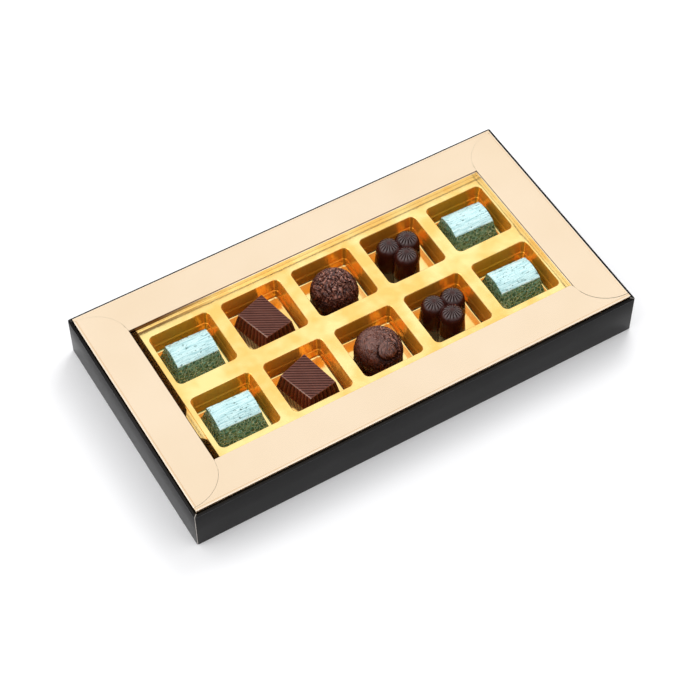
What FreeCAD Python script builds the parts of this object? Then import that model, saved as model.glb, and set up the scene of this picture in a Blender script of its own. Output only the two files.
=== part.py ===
import FreeCAD, Part
import Sketcher
import math
import os

# A shallow box of pralines: a black carton, a gold card frame with four fold-in flaps, a formed gold
# tray and ten pralines in its cavities. The origin is the centre of the carton's underside, +X runs
# along the box, +Y to its back and +Z up. Every length is in millimetres.

doc = FreeCAD.newDocument("ChocolateBox")
sheet = doc.addObject("Spreadsheet::Sheet", "Sizes")

SIZES = [
    # Black carton: its height, double wall, floor and the roundness of its folds.
    ("box_height", 22.8),
    ("box_wall", 1.6),
    ("box_floor", 1.2),
    ("box_corner", 0.9),
    ("rim_round", 0.4),
    # Gold frame: card, the play around it, its rise above the rim, and the flaps with their curved ends.
    ("card", 0.5),
    ("insert_gap", 0.25),
    ("frame_rise", 2.4),
    ("frame_corner", 0.8),
    ("flap_width", 20.0),
    ("tip_inset", 2.0),
    ("seam_gap", 0.25),
    ("fold_gap", 0.1),
    ("seat_gap", 0.05),
    # Formed tray: sheet, how deep its face lies under the frame's, its play in the window and its margins.
    ("sheet_thick", 0.4),
    ("tray_sink", 3.75),
    ("tray_fit", 0.25),
    ("tray_slack", 4.65),
    ("tray_end_margin", 2.6),
    ("tray_side_margin", 5.9),
    ("tray_corner", 2.4),
    ("tray_edge_round", 0.6),
    # Cavities: the play around the largest praline, depth, wall with its ledge, and the webs between them.
    ("cavity_play", 0.418),
    ("cavity_depth", 12.2),
    ("cavity_corner", 2.6),
    ("ledge_depth", 7.4),
    ("ledge_width", 0.5),
    ("wall_draft", 3.0),
    ("column_web", 7.8),
    ("row_web", 10.5),
    # Foil-wrapped loaf: the wrapped size at its foot, how far its sides lean in, its arched crown, its foil.
    ("loaf_length", 26.0),
    ("loaf_width", 20.2),
    ("loaf_height", 12.4),
    ("loaf_end_lean", 2.5),
    ("loaf_side_lean", 3.2),
    ("crown_rise", 1.8),
    ("foil", 0.15),
    ("foil_gap", 0.05),
    ("foil_turn_under", 5.0),
    # Ridged praline: foot, height, the lean of its sides and the angle at which it lies in its cavity.
    ("ridged_length", 24.0),
    ("ridged_width", 19.0),
    ("ridged_height", 10.0),
    ("ridged_lean", 1.6),
    ("ridged_corner", 1.8),
    ("ridged_angle", 104.0),
    # Truffle: a ball flattened at its foot.
    ("truffle_radius", 11.6),
    ("truffle_centre_height", 3.8),
    # Nut cluster: three domed nuts that flare towards the foot, and the angle of the trio.
    ("nut_height", 15.7),
    ("nut_radius", 6.0),
    ("nut_foot_radius", 7.0),
    ("nut_ring", 5.9),
    ("nut_angle", 27.0),
]

COLUMNS = 5
ROWS = 2
NUTS = 3

# Two heights are the same when they differ by less than this share of the edges' whole length.
TOUCH_SHARE = 1e-8

for row, (alias, value) in enumerate(SIZES, start=1):
    sheet.set(f"A{row}", alias)
    sheet.set(f"B{row}", str(value))
    sheet.setAlias(f"B{row}", alias)
doc.recompute()

# Sizes and heights that several pieces share, as formulas of the sheet, from the pralines outwards.
ridged_sine, ridged_cosine = "abs(sin(Sizes.ridged_angle))", "abs(cos(Sizes.ridged_angle))"
ridged_depth = f"(Sizes.ridged_length * {ridged_sine} + Sizes.ridged_width * {ridged_cosine})"
ridged_span = f"(Sizes.ridged_length * {ridged_cosine} + Sizes.ridged_width * {ridged_sine})"
loaf_span = "max(Sizes.loaf_length; Sizes.loaf_width)"
truffle_span = "(2 * Sizes.truffle_radius)"
nut_span = "(2 * (Sizes.nut_ring + Sizes.nut_foot_radius))"
largest_praline = f"max({loaf_span}; {ridged_depth}; {ridged_span}; {truffle_span}; {nut_span})"
floor_side = f"({largest_praline} + 2 * Sizes.cavity_play)"
lower_depth = "(Sizes.cavity_depth - Sizes.ledge_depth)"
lower_side = f"({floor_side} + 2 * {lower_depth} * tan(Sizes.wall_draft))"
cavity_side = f"({lower_side} + 2 * Sizes.ledge_width + 2 * Sizes.ledge_depth * tan(Sizes.wall_draft))"
column_pitch = f"({cavity_side} + Sizes.column_web)"
row_pitch = f"({cavity_side} + Sizes.row_web)"
tray_length = f"({COLUMNS - 1} * {column_pitch} + {cavity_side} + 2 * Sizes.tray_end_margin)"
tray_width = f"({ROWS - 1} * {row_pitch} + {cavity_side} + 2 * Sizes.tray_side_margin)"
window_length = f"({tray_length} + Sizes.tray_fit + Sizes.tray_slack)"
window_width = f"({tray_width} + 2 * Sizes.tray_fit)"
insert_length = f"({window_length} + 2 * Sizes.flap_width)"
insert_width = f"({window_width} + 2 * Sizes.flap_width)"
inside_length = f"({insert_length} + 2 * Sizes.insert_gap)"
inside_width = f"({insert_width} + 2 * Sizes.insert_gap)"
box_length = f"({inside_length} + 2 * Sizes.box_wall)"
box_width = f"({inside_width} + 2 * Sizes.box_wall)"
stand_height = "(Sizes.box_floor + Sizes.seat_gap)"
frame_top = "(Sizes.box_height + Sizes.frame_rise)"
fold_height = f"({frame_top} - Sizes.card / 2)"
fold_x = f"({insert_length} / 2 - Sizes.card / 2)"
fold_y = f"({insert_width} / 2 - Sizes.card / 2)"
flap_reach = "(Sizes.flap_width - Sizes.card / 2)"
flap_tip = "(Sizes.flap_width - Sizes.tip_inset)"
tray_height = f"({frame_top} - Sizes.tray_sink - {stand_height})"
tray_x = f"({window_length} / 2 - Sizes.tray_fit - {tray_length} / 2)"
praline_height = f"({stand_height} + {tray_height} - Sizes.cavity_depth + Sizes.seat_gap)"


def bind(item, formulas):
    """Ties each named property of an object to its formula."""
    for path, formula in formulas.items():
        item.setExpression(path, formula)
    return item


def place(item, x="0", y="0", z="0"):
    """Ties an object's position to three formulas."""
    return bind(item, {"Placement.Base.x": x, "Placement.Base.y": y, "Placement.Base.z": z})


def add(kind, name, formulas=None):
    """Makes an object of the document and ties its properties."""
    return bind(doc.addObject(kind, name), formulas or {})


def new_body(label):
    """Makes an empty body that carries its node's name."""
    body = doc.addObject("PartDesign::Body", label)
    body.Label = label
    return body


def level_sketch(body, name, x="0", y="0", z="0"):
    """Makes a sketch parallel to the body's ground plane, centred at a point given by formulas."""
    ground = [plane for plane in body.Origin.OriginFeatures if plane.Role == "XY_Plane"][0]
    sketch = body.newObject("Sketcher::SketchObject", name)
    sketch.AttachmentSupport = (ground, [""])
    sketch.MapMode = "FlatFace"
    bind(sketch, {f"AttachmentOffset.Base.{axis}": formula for axis, formula in zip("xyz", (x, y, z))})
    return sketch


def rounded_rectangle(sketch, length, width, corner):
    """Draws a rectangle with round corners about the sketch's centre and ties its three sizes."""
    half_x, half_y, radius = (float(sheet.evalExpression(formula)) for formula in (length, width, corner))
    half_x, half_y = half_x / 2, half_y / 2
    inner_x, inner_y = half_x - radius, half_y - radius
    ends = [
        ((-inner_x, -half_y), (inner_x, -half_y)),
        ((half_x, -inner_y), (half_x, inner_y)),
        ((inner_x, half_y), (-inner_x, half_y)),
        ((-half_x, inner_y), (-half_x, -inner_y)),
    ]
    centres = [(inner_x, -inner_y), (inner_x, inner_y), (-inner_x, inner_y), (-inner_x, -inner_y)]
    first = sketch.GeometryCount
    upwards = FreeCAD.Vector(0, 0, 1)
    for start, end in ends:
        sketch.addGeometry(Part.LineSegment(FreeCAD.Vector(*start, 0), FreeCAD.Vector(*end, 0)), False)
    for quarter, centre in enumerate(centres):
        circle = Part.Circle(FreeCAD.Vector(*centre, 0), upwards, radius)
        quarter_start, quarter_end = (quarter - 1) * math.pi / 2, quarter * math.pi / 2
        sketch.addGeometry(Part.ArcOfCircle(circle, quarter_start, quarter_end), False)
    rules = []
    for side in range(4):
        line, arc, next_line = first + side, first + 4 + side, first + (side + 1) % 4
        rules.append(Sketcher.Constraint("Tangent", line, 2, arc, 1))
        rules.append(Sketcher.Constraint("Tangent", arc, 2, next_line, 1))
        rules.append(Sketcher.Constraint("Vertical" if side % 2 else "Horizontal", line))
        if side:
            rules.append(Sketcher.Constraint("Equal", first + 4, arc))
    rules.append(Sketcher.Constraint("Symmetric", first + 4, 3, first + 6, 3, -1, 1))
    sketch.addConstraint(rules)
    sizes = {
        "length": (Sketcher.Constraint("DistanceX", first + 3, 1, first + 1, 1, 2 * half_x), length),
        "width": (Sketcher.Constraint("DistanceY", first, 1, first + 2, 1, 2 * half_y), width),
        "corner": (Sketcher.Constraint("Radius", first + 4, radius), corner),
    }
    for word, (rule, formula) in sizes.items():
        name = f"{word}_{first}"
        sketch.renameConstraint(sketch.addConstraint(rule), name)
        sketch.setExpression(f"Constraints.{name}", formula)


def extrude(body, kind, name, sketch, length, backwards=False, taper=None):
    """Adds a Pad or a Pocket of a sketch, with a depth and a draft given by formulas."""
    feature = body.newObject(f"PartDesign::{kind}", name)
    feature.Profile = sketch
    feature.Reversed = backwards
    bind(feature, {"Length": length})
    if taper:
        bind(feature, {"TaperAngle": taper})
    return feature


def edges_at_height(feature, height):
    """Names the edges of a feature that lie wholly at one height of their body."""
    doc.recompute()
    level = float(sheet.evalExpression(height))
    names = []
    for number, edge in enumerate(feature.Shape.Edges, start=1):
        box = edge.BoundBox
        if abs(box.ZMin - level) < feature.Shape.Length * TOUCH_SHARE > abs(box.ZMax - level):
            names.append(f"Edge{number}")
    return names


def round_edges(body, name, feature, height, radius):
    """Rounds every edge of a feature at one height."""
    fillet = body.newObject("PartDesign::Fillet", name)
    fillet.Base = (feature, edges_at_height(feature, height))
    return bind(fillet, {"Radius": radius})


def ring(label, length, width, corner, thickness, height):
    """A standing wall of card around a rectangle, given by its outer size."""
    body = new_body(label)
    outline = level_sketch(body, f"{label}_outline")
    rounded_rectangle(outline, length, width, corner)
    rounded_rectangle(
        outline, f"{length} - 2 * {thickness}", f"{width} - 2 * {thickness}", f"{corner} - {thickness}"
    )
    extrude(body, "Pad", f"{label}_wall", outline, height)
    return place(body, z=stand_height)


def make_carton():
    """The black tray: a floor and four double walls with a rounded rim."""
    body = new_body("outer_tray")
    outline = level_sketch(body, "carton_outline")
    rounded_rectangle(outline, box_length, box_width, "Sizes.box_corner")
    block = extrude(body, "Pad", "carton_block", outline, "Sizes.box_height")
    round_edges(body, "carton_rim", block, "Sizes.box_height", "Sizes.rim_round")
    inside = level_sketch(body, "carton_inside", z="Sizes.box_height")
    rounded_rectangle(inside, inside_length, inside_width, "Sizes.frame_corner + Sizes.insert_gap")
    extrude(body, "Pocket", "carton_hollow", inside, "Sizes.box_height - Sizes.box_floor")
    return body


def make_frame_walls():
    """The gold collar inside the carton and the liner that stands around the window."""
    wall_height = f"{fold_height} - Sizes.card / 2 - Sizes.fold_gap - {stand_height}"
    collar = ring("frame_wall", insert_length, insert_width, "Sizes.frame_corner", "Sizes.card", wall_height)
    liner = ring(
        "window_liner",
        f"({window_length} + 2 * Sizes.card)",
        f"({window_width} + 2 * Sizes.card)",
        "Sizes.frame_corner",
        "Sizes.card",
        wall_height,
    )
    return collar, liner


def oval_plate(name, x, y, grow):
    """An oval plate of card that gives a short flap's curved end, or with a gap the room for it."""
    oval = add("Part::Ellipse", f"{name}_oval", {
        "MajorRadius": f"{flap_reach} + {grow}",
        "MinorRadius": f"{flap_tip} + {grow}",
    })
    place(oval, x, y, f"{frame_top} - Sizes.card")
    plate = add("Part::Extrusion", f"{name}_plate", {"LengthFwd": "Sizes.card"})
    plate.Base = oval
    plate.DirMode = "Custom"
    plate.Dir = FreeCAD.Vector(0, 0, 1)
    plate.Solid = True
    return plate


def card_strip(name, x_low, y_low, length, width):
    """A flat strip of card at the height of the flaps."""
    strip = add("Part::Box", name, {"Length": length, "Width": width, "Height": "Sizes.card"})
    return place(strip, x_low, y_low, f"{frame_top} - Sizes.card")


def fold_bead(name, along, half_length, across):
    """The rounded outer fold of a flap, on its hinge line."""
    bead = add("Part::Cylinder", name, {"Radius": "Sizes.card / 2", "Height": f"2 * {half_length}"})
    if along == "x":
        bead.Placement.Rotation = FreeCAD.Rotation(FreeCAD.Vector(0, 1, 0), 90)
        return place(bead, f"-{half_length}", across, fold_height)
    bead.Placement.Rotation = FreeCAD.Rotation(FreeCAD.Vector(1, 0, 0), -90)
    return place(bead, across, f"-{half_length}", fold_height)


def join(kind, label, items):
    """Fuses or intersects several objects into one that carries a node's name."""
    result = add(kind, label)
    result.Label = label
    result.Shapes = items
    return result


def make_short_flap(label, side):
    """A flap on a short side: a strip along the window whose two ends run out in quarter ovals."""
    low_x = f"{window_length} / 2" if side > 0 else f"-{fold_x}"
    strip = card_strip(f"{label}_strip", low_x, f"-{window_width} / 2", flap_reach, window_width)
    ends = [
        oval_plate(f"{label}_{word}", f"{side} * {fold_x}", f"{sign} * {window_width} / 2", "0")
        for word, sign in (("front", -1), ("back", 1))
    ]
    whole = join("Part::MultiFuse", f"{label}_whole", [strip, *ends])
    bounds = card_strip(f"{label}_bounds", low_x, f"-{insert_width} / 2", flap_reach, insert_width)
    sheet_part = join("Part::MultiCommon", f"{label}_card", [whole, bounds])
    bead = fold_bead(f"{label}_bead", "y", f"({window_width} / 2 + {flap_tip})", f"{side} * {fold_x}")
    return join("Part::MultiFuse", label, [sheet_part, bead])


def make_long_flap(label, side):
    """A flap on a long side: a strip of the full length, cut back at both ends for the short flaps."""
    low_y = f"{window_width} / 2" if side > 0 else f"-{fold_y}"
    strip = card_strip(f"{label}_strip", f"-{insert_length} / 2", low_y, insert_length, flap_reach)
    for word, sign in (("left", -1), ("right", 1)):
        room = oval_plate(
            f"{label}_{word}", f"{sign} * {fold_x}", f"{side} * {window_width} / 2", "Sizes.seam_gap"
        )
        cut = add("Part::Cut", f"{label}_{word}_cut")
        cut.Base = strip
        cut.Tool = room
        strip = cut
    bead = fold_bead(f"{label}_bead", "x", f"({insert_length} / 2)", f"{side} * {fold_y}")
    return join("Part::MultiFuse", label, [strip, bead])


def make_cavity_tray():
    """The formed tray: a skirted sheet with a grid of cups, each with a ledge in its drafted wall."""
    body = new_body("cavity_tray")
    outline = level_sketch(body, "tray_outline")
    rounded_rectangle(outline, tray_length, tray_width, "Sizes.tray_corner")
    block = extrude(body, "Pad", "tray_block", outline, tray_height)
    round_edges(body, "tray_shoulder", block, tray_height, "Sizes.tray_edge_round")
    hollow = level_sketch(body, "tray_hollow")
    rounded_rectangle(
        hollow,
        f"{tray_length} - 2 * Sizes.sheet_thick",
        f"{tray_width} - 2 * Sizes.sheet_thick",
        "Sizes.tray_corner - Sizes.sheet_thick",
    )
    extrude(
        body, "Pocket", "tray_underside", hollow, f"{tray_height} - Sizes.sheet_thick", backwards=True
    )
    first_x = f"-{COLUMNS - 1} / 2 * {column_pitch}"
    first_y = f"-{ROWS - 1} / 2 * {row_pitch}"
    ledge_height = f"{tray_height} - Sizes.ledge_depth"
    steps = [
        ("upper", tray_height, cavity_side, "Sizes.ledge_depth"),
        ("lower", ledge_height, lower_side, lower_depth),
    ]
    features = []
    for kind, word, grow in (("Pad", "cup", "Sizes.sheet_thick"), ("Pocket", "cavity", "0")):
        for step, height, side, depth in steps:
            square = level_sketch(body, f"{step}_{word}_outline", first_x, first_y, height)
            grown = f"{side} + 2 * {grow}"
            rounded_rectangle(square, grown, grown, f"Sizes.cavity_corner + {grow}")
            features.append(extrude(
                body, kind, f"{step}_{word}", square, f"{depth} + {grow}",
                backwards=kind == "Pad", taper="-Sizes.wall_draft",
            ))
    doc.recompute()
    grid = body.newObject("PartDesign::LinearPattern", "cavity_grid")
    grid.Originals = features
    grid.Direction = (outline, ["H_Axis"])
    grid.Direction2 = (outline, ["V_Axis"])
    grid.Mode = "Spacing"
    grid.Mode2 = "Spacing"
    grid.Occurrences = COLUMNS
    grid.Occurrences2 = ROWS
    grid.Spacings2 = grid.Spacings[: ROWS - 1]
    bind(grid, {"Offset": column_pitch, "Offset2": row_pitch})
    body.Tip = grid
    return place(body, x=tray_x, z=stand_height)


def cell(column, row):
    """The formulas for the middle of a cavity, counted from the left and from the front."""
    x = f"{tray_x} + {column - (COLUMNS - 1) / 2} * {column_pitch}"
    y = f"{row - (ROWS - 1) / 2} * {row_pitch}"
    return x, y


def sloped_block(name, length, width, height, end_lean, side_lean):
    """A block on a rectangular foot whose ends and sides lean inwards."""
    block = add("Part::Wedge", name, {
        "Xmin": f"-({length}) / 2",
        "Xmax": f"({length}) / 2",
        "Zmin": f"-({width}) / 2",
        "Zmax": f"({width}) / 2",
        "Ymin": "0",
        "Ymax": height,
        "X2min": f"{end_lean} - ({length}) / 2",
        "X2max": f"({length}) / 2 - {end_lean}",
        "Z2min": f"{side_lean} - ({width}) / 2",
        "Z2max": f"({width}) / 2 - {side_lean}",
    })
    block.Placement.Rotation = FreeCAD.Rotation(FreeCAD.Vector(1, 0, 0), 90)
    return block


def loaf(label, inset):
    """An arched loaf with sloping sides and ends, standing on the ground, made smaller by an inset."""
    length = f"Sizes.loaf_length - 2 * {inset}"
    width = f"Sizes.loaf_width - 2 * {inset}"
    height = f"Sizes.loaf_height - 2 * {inset}"
    leans = "Sizes.loaf_end_lean", "Sizes.loaf_side_lean"
    block = sloped_block(f"{label}_block", length, width, height, *leans)
    half_crown = f"(({width}) / 2 - Sizes.loaf_side_lean)"
    radius = f"({half_crown} ^ 2 + Sizes.crown_rise ^ 2) / (2 * Sizes.crown_rise)"
    arch = add("Part::Cylinder", f"{label}_arch", {"Radius": radius, "Height": length})
    arch.Placement.Rotation = FreeCAD.Rotation(FreeCAD.Vector(0, 1, 0), 90)
    place(arch, f"-({length}) / 2", "0", f"{height} - {radius}")
    return join("Part::MultiCommon", label, [block, arch])


def make_foil_praline(number, column, row):
    """A loaf praline and the foil around it, whose edges are turned under the foot."""
    x, y = cell(column, row)
    skin = "(Sizes.foil + Sizes.foil_gap)"
    core = loaf(f"foil_praline_{number}", skin)
    place(core, x, y, f"{praline_height} + {skin}")
    outside = loaf(f"foil_outside_{number}", "0")
    inside = loaf(f"foil_inside_{number}", "Sizes.foil")
    place(inside, z="Sizes.foil")
    shell = add("Part::Cut", f"foil_shell_{number}")
    shell.Base = outside
    shell.Tool = inside
    open_length = "(Sizes.loaf_length - 2 * Sizes.foil_turn_under)"
    open_width = "(Sizes.loaf_width - 2 * Sizes.foil_turn_under)"
    opening = add("Part::Box", f"foil_opening_{number}", {
        "Length": open_length, "Width": open_width, "Height": "2 * Sizes.foil",
    })
    place(opening, f"-{open_length} / 2", f"-{open_width} / 2", "-Sizes.foil / 2")
    wrapper = add("Part::Cut", f"foil_wrapper_{number}")
    wrapper.Label = f"foil_wrapper_{number}"
    wrapper.Base = shell
    wrapper.Tool = opening
    return [place(wrapper, x, y, praline_height), core]


def make_ridged_praline(number, column, row):
    """A bar-shaped praline with leaning sides, lying askew in its cavity."""
    label = f"ridged_praline_{number}"
    body = new_body(label)
    foot = level_sketch(body, f"{label}_foot")
    rounded_rectangle(foot, "Sizes.ridged_length", "Sizes.ridged_width", "Sizes.ridged_corner")
    lean = "-atan(Sizes.ridged_lean / Sizes.ridged_height)"
    extrude(body, "Pad", f"{label}_block", foot, "Sizes.ridged_height", taper=lean)
    body.Placement.Rotation = FreeCAD.Rotation(FreeCAD.Vector(0, 0, 1), 90)
    bind(body, {"Placement.Rotation.Angle": "Sizes.ridged_angle"})
    return [place(body, *cell(column, row), praline_height)]


def make_truffle(number, column, row):
    """A ball of chocolate flattened at its foot."""
    label = f"truffle_{number}"
    ball = add("Part::Sphere", label, {
        "Radius": "Sizes.truffle_radius",
        "Angle1": "-asin(Sizes.truffle_centre_height / Sizes.truffle_radius)",
    })
    ball.Label = label
    return [place(ball, *cell(column, row), f"{praline_height} + Sizes.truffle_centre_height")]


def make_nut_cluster(number, column, row):
    """Three domed nuts under chocolate, grown together and flaring towards the foot."""
    label = f"nut_cluster_{number}"
    shoulder = "(Sizes.nut_height - Sizes.nut_radius)"
    pieces = []
    for nut in range(NUTS):
        turn = f"(Sizes.nut_angle + {nut} * 360 / {NUTS})"
        x = f"Sizes.nut_ring * cos({turn})"
        y = f"Sizes.nut_ring * sin({turn})"
        flank = add("Part::Cone", f"{label}_flank_{nut}", {
            "Radius1": "Sizes.nut_foot_radius", "Radius2": "Sizes.nut_radius", "Height": shoulder,
        })
        dome = add("Part::Sphere", f"{label}_dome_{nut}", {"Radius": "Sizes.nut_radius"})
        dome.Angle1 = 0
        pieces += [place(flank, x, y), place(dome, x, y, shoulder)]
    cluster = join("Part::MultiFuse", label, pieces)
    return [place(cluster, *cell(column, row), praline_height)]


# The pralines column by column, from the left.
KINDS = [make_foil_praline, make_ridged_praline, make_truffle, make_nut_cluster, make_foil_praline]

nodes = [make_carton(), *make_frame_walls()]
nodes += [make_long_flap("flap_front", -1), make_long_flap("flap_back", 1)]
nodes += [make_short_flap("flap_left", -1), make_short_flap("flap_right", 1)]
nodes.append(make_cavity_tray())
made = {kind: 0 for kind in KINDS}
for column, kind in enumerate(KINDS):
    for row in range(ROWS):
        made[kind] += 1
        nodes += kind(made[kind], column, row)
doc.recompute()

for item in doc.Objects:
    if {"Invalid", "Error"} & set(item.State):
        raise RuntimeError(f"{item.Name} failed: {item.State}")
for node in nodes:
    if node.Shape.isNull() or not node.Shape.isValid() or not node.Shape.Solids:
        raise RuntimeError(f"{node.Label} has no valid solid")

os.makedirs("parts", exist_ok=True)
for node in nodes:
    node.Shape.exportStep(f"parts/{node.Label}.step")
    print(node.Label, len(node.Shape.Solids), "solid,", round(node.Shape.Volume, 2), "mm3")
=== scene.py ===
# %% [markdown]
# # A box of pralines
# The real box is a black card carton. A gold card frame stands in it, a formed gold tray lies in the
# frame's window, and ten pralines lie in the tray. The solids were made elsewhere and are loaded here as
# a fixed frame: every piece below goes where its solid is, in metres, and moves with the same body.

# %% Load the frame
import math

import bmesh
import bpy
import numpy as np
from mathutils import Matrix, Vector


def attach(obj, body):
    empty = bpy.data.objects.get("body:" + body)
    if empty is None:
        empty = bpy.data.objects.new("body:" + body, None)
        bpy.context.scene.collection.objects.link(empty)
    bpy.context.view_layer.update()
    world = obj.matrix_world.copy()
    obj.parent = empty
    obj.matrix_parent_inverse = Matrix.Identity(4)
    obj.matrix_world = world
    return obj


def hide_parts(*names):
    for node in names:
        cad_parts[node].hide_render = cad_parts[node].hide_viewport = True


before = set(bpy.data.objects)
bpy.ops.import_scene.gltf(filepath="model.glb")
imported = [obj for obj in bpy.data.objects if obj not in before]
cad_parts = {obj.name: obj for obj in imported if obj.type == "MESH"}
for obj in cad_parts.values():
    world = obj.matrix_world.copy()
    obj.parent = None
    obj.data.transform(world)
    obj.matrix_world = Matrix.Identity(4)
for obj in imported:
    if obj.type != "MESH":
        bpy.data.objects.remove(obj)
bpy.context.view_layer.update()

# %% [markdown]
# ## From numbers to a mesh
# Each surface here is a function of two parameters. Numpy works out the points of a whole grid at once,
# and the grid's faces follow from its rows and columns, so no loop ever visits a single vertex. Welding
# closes the seams and poles where a grid meets itself. A mesh can carry attributes too, one number for
# each point, which tell its finish where the piece is worn or pressed, and where light or shade is painted.

# %% Grids and welding
MM = 0.001
WELD = 0.002 * MM


def grid_faces(rows, columns, first=0, closed_rows=False, closed_columns=False):
    """The corners of each face of a grid: a point, the next across, the one diagonally on, the one down."""
    row = np.arange(rows - (not closed_rows))[:, None]
    column = np.arange(columns - (not closed_columns))[None, :]
    down, across = (row + 1) % rows, (column + 1) % columns
    pairs = (row, column), (row, across), (down, across), (down, column)
    corners = [line * columns + place for line, place in pairs]
    return (np.stack(np.broadcast_arrays(*corners), axis=-1) + first).reshape(-1, 4).tolist()


def end_face(row, columns, first=0):
    """One face over a whole row of a grid, which closes an end."""
    return list(range(first + row * columns, first + (row + 1) * columns))


def make_mesh(name, points, faces, closed=True, crease=40, **attributes):
    """A mesh from points in millimetres: welded, smooth up to the crease angle, faces out if it is closed."""
    mesh = bpy.data.meshes.new(name)
    mesh.from_pydata((points.reshape(-1, 3) * MM).tolist(), [], faces)
    for word, values in attributes.items():
        attribute = mesh.attributes.new(word, "FLOAT", "POINT")
        attribute.data.foreach_set("value", values.ravel().astype(np.float32))
    work = bmesh.new()
    work.from_mesh(mesh)
    bmesh.ops.remove_doubles(work, verts=work.verts, dist=WELD)
    if closed:
        bmesh.ops.recalc_face_normals(work, faces=work.faces)
    work.to_mesh(mesh)
    work.free()
    mesh.shade_smooth()
    mesh.set_sharp_from_angle(angle=math.radians(crease))
    return mesh


print("a grid of 3 by 4 points has", len(grid_faces(3, 4)), "faces")

# %% [markdown]
# ## Pieces that move
# A mesh becomes a piece of the box when an object shows it. Three calls set it up: the body it moves
# with, the solids it stands for, which are hidden, and its finish.

# %% Hand-over
def add_piece(mesh, material, body, slot, *replaced):
    """Shows a mesh as a piece that moves with a body and stands for the named solids."""
    piece = bpy.data.objects.new(mesh.name, mesh)
    bpy.context.scene.collection.objects.link(piece)
    mesh.materials.append(material)
    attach(piece, body)
    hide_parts(*replaced)
    print(piece.name, len(mesh.polygons), "faces, rides on", body)
    return piece


# %% [markdown]
# ## Rounded rectangles
# Carton, lining, tray and cavities are all rounded rectangles stacked at different heights. A template
# keeps what every such ring has in common: the corner each point belongs to and the direction its rounding
# pushes it. A stack of sizes then turns the template into a stack of rings.

# %% Rings
CORNERS = np.array([(1, -1), (1, 1), (-1, 1), (-1, -1)], float)


def ring_template(per_side, per_corner):
    """For each point of a ring: its place between the corners, its push, and its share of each corner."""
    turn = np.linspace(0, math.pi / 2, per_corner)
    share = np.linspace(0, 1, per_side + 2)[1:-1, None]
    corners, pushes, weights = [], [], []
    for quarter, (here, there) in enumerate(zip(np.eye(4), np.roll(np.eye(4), -1, axis=0))):
        angle = turn + (quarter - 1) * math.pi / 2
        arc = np.stack([np.cos(angle), np.sin(angle)], axis=-1)
        weight = np.concatenate([np.tile(here, (per_corner, 1)), (1 - share) * here + share * there])
        weights.append(weight)
        corners.append(weight @ CORNERS)
        pushes.append(np.concatenate([arc, np.tile(arc[-1], (per_side, 1))]))
    return np.concatenate(corners), np.concatenate(pushes), np.concatenate(weights)


def rings(template, half_x, half_y, radius, height, centre=(0, 0)):
    """One ring per row of sizes: corner times the half size that rounding leaves, plus radius times push."""
    corner, push, _ = template
    half = np.stack(np.broadcast_arrays(half_x, half_y), axis=-1).astype(float)
    radius = np.asarray(radius, float)
    radius = radius[:, None, None] if radius.ndim == 1 else radius[..., None]
    flat = corner * (half[:, None, :] - radius) + radius * push + np.asarray(centre)
    level = np.broadcast_to(np.asarray(height, float)[:, None, None], flat.shape[:2] + (1,))
    return np.concatenate([flat, level], axis=-1)


def quarter_arc(steps):
    """Sine and one minus cosine over a quarter turn, for rounding an edge."""
    angle = np.linspace(0, math.pi / 2, steps)
    return np.sin(angle), 1 - np.cos(angle)


ARC_STEPS = 6
print("a ring of 8 points per side and 9 per corner has", len(ring_template(8, 9)[0]), "points")

# %% [markdown]
# ## Uneven surfaces
# Chocolate flakes and crushed foil are irregular but not arbitrary: neighbouring points are alike. Random
# numbers on a lattice, blended smoothly in between, give just that, and a fixed seed gives the same piece
# on every run.

# %% Lattice noise
LATTICE = 48


def lattice_noise(points, spacing, seed):
    """Smooth noise from -1 to 1: random numbers on a lattice, blended between the eight around a point."""
    table = np.random.default_rng(seed).uniform(-1, 1, (LATTICE,) * 3)
    scaled = points / spacing
    low = np.floor(scaled).astype(int)
    part = scaled - low
    part = part * part * (3 - 2 * part)
    total = np.zeros(points.shape[:-1])
    for corner in np.ndindex(2, 2, 2):
        weight = np.prod(np.where(corner, part, 1 - part), axis=-1)
        total += weight * table[tuple(np.moveaxis((low + corner) % LATTICE, -1, 0))]
    return total


def smooth_step(low, high, value):
    """0 below low, 1 above high, and an S-shaped rise in between."""
    part = np.clip((value - low) / (high - low), 0, 1)
    return part * part * (3 - 2 * part)


print("noise repeats after", LATTICE, "cells; halfway up a step is", float(smooth_step(0, 1, 0.5)))

# %% [markdown]
# ## Finishes
# A finish is a small network of nodes that ends in one shader. What is the same all over a surface is set
# on the shader itself, and only what varies is linked to it.

# %% Start a finish
def node_adder(tree):
    """A function that adds a node to a tree: it sets the node's options, and sets or links its inputs."""
    def add(kind, inputs, **options):
        """Adds one node of a kind."""
        node = tree.nodes.new(kind)
        for option, value in options.items():
            setattr(node, option, value)
        for socket, value in inputs.items():
            if isinstance(value, bpy.types.NodeSocket):
                tree.links.new(value, node.inputs[socket])
            else:
                node.inputs[socket].default_value = value
        return node

    return add


def new_finish(name, **settings):
    """A material with one shader and its even values, that shader, and a function that adds nodes."""
    material = bpy.data.materials.new(name)
    material.use_nodes = True
    shader = material.node_tree.nodes["Principled BSDF"]
    for word, value in settings.items():
        shader.inputs[word.replace("_", " ")].default_value = value
    return material, shader, node_adder(material.node_tree)


def plug(shader, **links):
    """Links outputs to the shader's sockets."""
    for word, output in links.items():
        shader.id_data.links.new(output, shader.inputs[word.replace("_", " ")])


def tell(material):
    """Prints how many nodes a finish took, and hands it on."""
    print(material.name, "has", len(material.node_tree.nodes), "nodes")
    return material


print("finishes that came with the solids:", len(bpy.data.materials))

# %% [markdown]
# ## Patterns
# Patterns are laid out on Object coordinates, which are metres here, so a noise scale of 1000 gives
# features of about a millimetre. A mark is a mesh attribute: it says where on the piece a pattern applies.

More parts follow.
